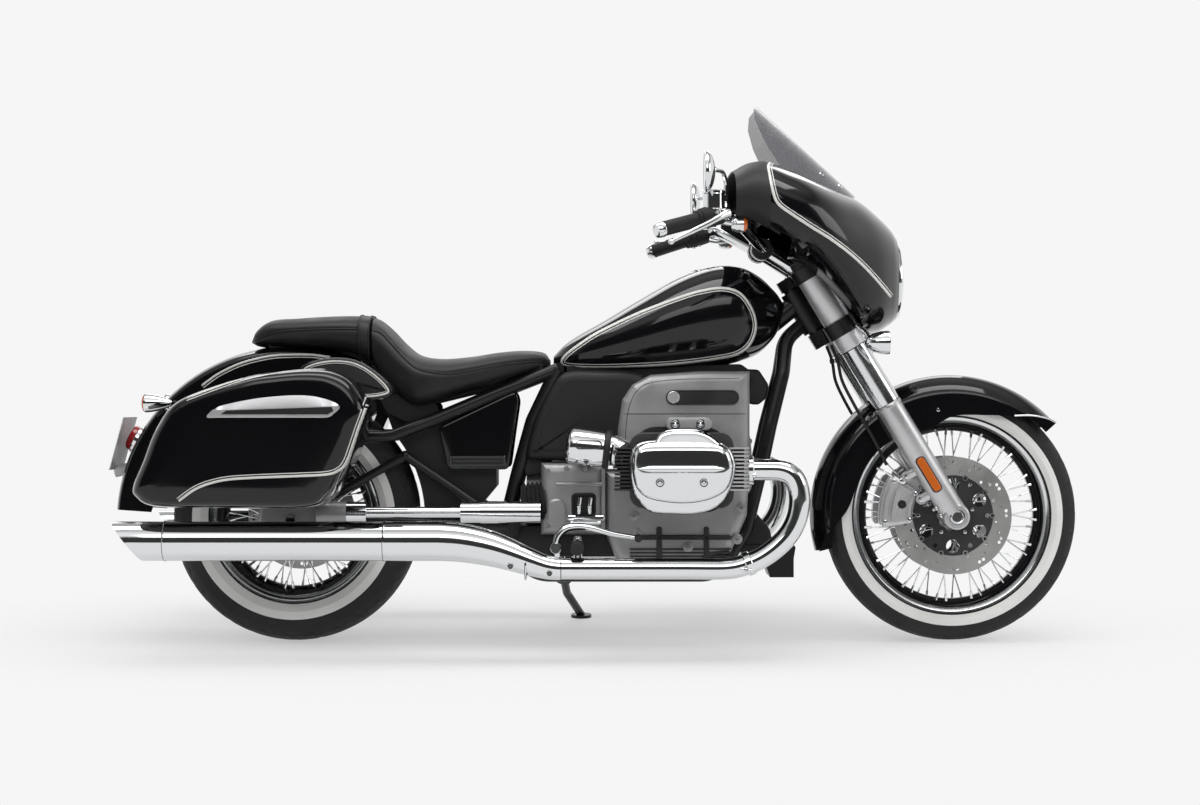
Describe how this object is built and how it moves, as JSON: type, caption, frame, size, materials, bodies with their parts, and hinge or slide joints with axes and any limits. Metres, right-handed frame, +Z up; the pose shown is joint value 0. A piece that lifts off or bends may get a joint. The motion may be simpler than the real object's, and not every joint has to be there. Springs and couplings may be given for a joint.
{
  "type": "cruiser motorcycle",
  "caption": "Large touring cruiser motorcycle with handlebar fairing, wire wheels, open flat engine, chrome exhausts and hard panniers, leaning on its side stand.",
  "frame": {"origin": "under the middle of the parked motorcycle, on the ground", "axes": "+X forwards, +Y to the motorcycle's left, +Z up; the motorcycle leans 5 degrees to its left on the side stand"},
  "size_m": [2.5008, 0.9904, 1.3806],
  "materials": {
    "black_paint": "gloss",
    "frame_paint": "satin",
    "engine_metal": "satin",
    "fork_metal": "satin",
    "chrome": "polished",
    "wheel_metal": "gloss",
    "disc_steel": "satin",
    "tyre_rubber": "matte",
    "dark_plastic": "matte",
    "seat_leather": "matte",
    "screen": "gloss",
    "red_lens": "gloss"
  },
  "bodies": {
    "chassis": {"main_frame": "frame_paint", "engine_block": "engine_metal", "gearbox": "engine_metal", "airbox": "dark_plastic", "battery_box": "dark_plastic", "cylinders": "engine_metal", "rocker_covers": "chrome", "intakes": "chrome", "headers": "chrome", "silencers": "chrome", "fuel_tank": "black_paint", "fuel_cap": "chrome", "rider_seat": "seat_leather", "passenger_seat": "seat_leather", "rear_fender": "black_paint", "swingarm": "frame_paint", "final_drive": "engine_metal", "drive_shaft": "chrome", "rear_axle": "chrome", "rear_caliper": "fork_metal", "side_covers": "black_paint", "tail_lamp": "red_lens", "plate_bracket": "frame_paint", "rear_signals": "chrome", "footrests": "dark_plastic", "foot_controls": "chrome", "deflector": "frame_paint", "pannier_case_right": "black_paint", "pannier_case_left": "black_paint"},
    "steering": {"fork_yokes": "frame_paint", "fork_legs": "fork_metal", "front_axle": "chrome", "front_calipers": "fork_metal", "front_fender": "black_paint", "handlebar": "chrome", "hand_controls": "dark_plastic", "levers": "chrome", "brake_hoses": "dark_plastic", "mirrors": "chrome", "fairing_shell": "black_paint", "fairing_dash": "dark_plastic", "windscreen": "screen", "front_lamps": "chrome"},
    "front_wheel_body": {"front_tyre": "tyre_rubber", "front_wheel": "wheel_metal", "front_discs": "disc_steel"},
    "rear_wheel_body": {"rear_tyre": "tyre_rubber", "rear_wheel": "wheel_metal", "rear_disc": "disc_steel"},
    "side_stand_body": {"side_stand": "frame_paint"},
    "right_lid": {"pannier_lid_right": "black_paint"},
    "left_lid": {"pannier_lid_left": "black_paint"}
  },
  "joints": [
    {"name": "steering_turn", "type": "hinge", "parent": "chassis", "child": "steering", "pos_m": [0.51299, -0.01006, 0.90976], "axis": [-0.518, 0.0745, 0.8521], "range_deg": [-33, 33]},
    {"name": "front_wheel_spin", "type": "hinge", "parent": "steering", "child": "front_wheel_body", "pos_m": [0.92444, -0.0612, 0.32527], "axis": [0, 0.9962, -0.0872], "continuous": true},
    {"name": "rear_wheel_spin", "type": "hinge", "parent": "chassis", "child": "rear_wheel_body", "pos_m": [-0.77056, -0.06172, 0.31929], "axis": [0, 0.9962, -0.0872], "continuous": true},
    {"name": "side_stand_fold", "type": "hinge", "parent": "chassis", "child": "side_stand_body", "pos_m": [-0.08056, 0.07488, 0.13669], "axis": [0.0743, 0.609, 0.7897], "range_deg": [0, 100.3]},
    {"name": "right_lid_open", "type": "hinge", "parent": "chassis", "child": "right_lid", "pos_m": [-0.77056, -0.21765, 0.717], "axis": [-1, 0, 0], "range_deg": [0, 70]},
    {"name": "left_lid_open", "type": "hinge", "parent": "chassis", "child": "left_lid", "pos_m": [-0.77056, 0.1609, 0.68388], "axis": [1, 0, 0], "range_deg": [0, 70]}
  ]
}
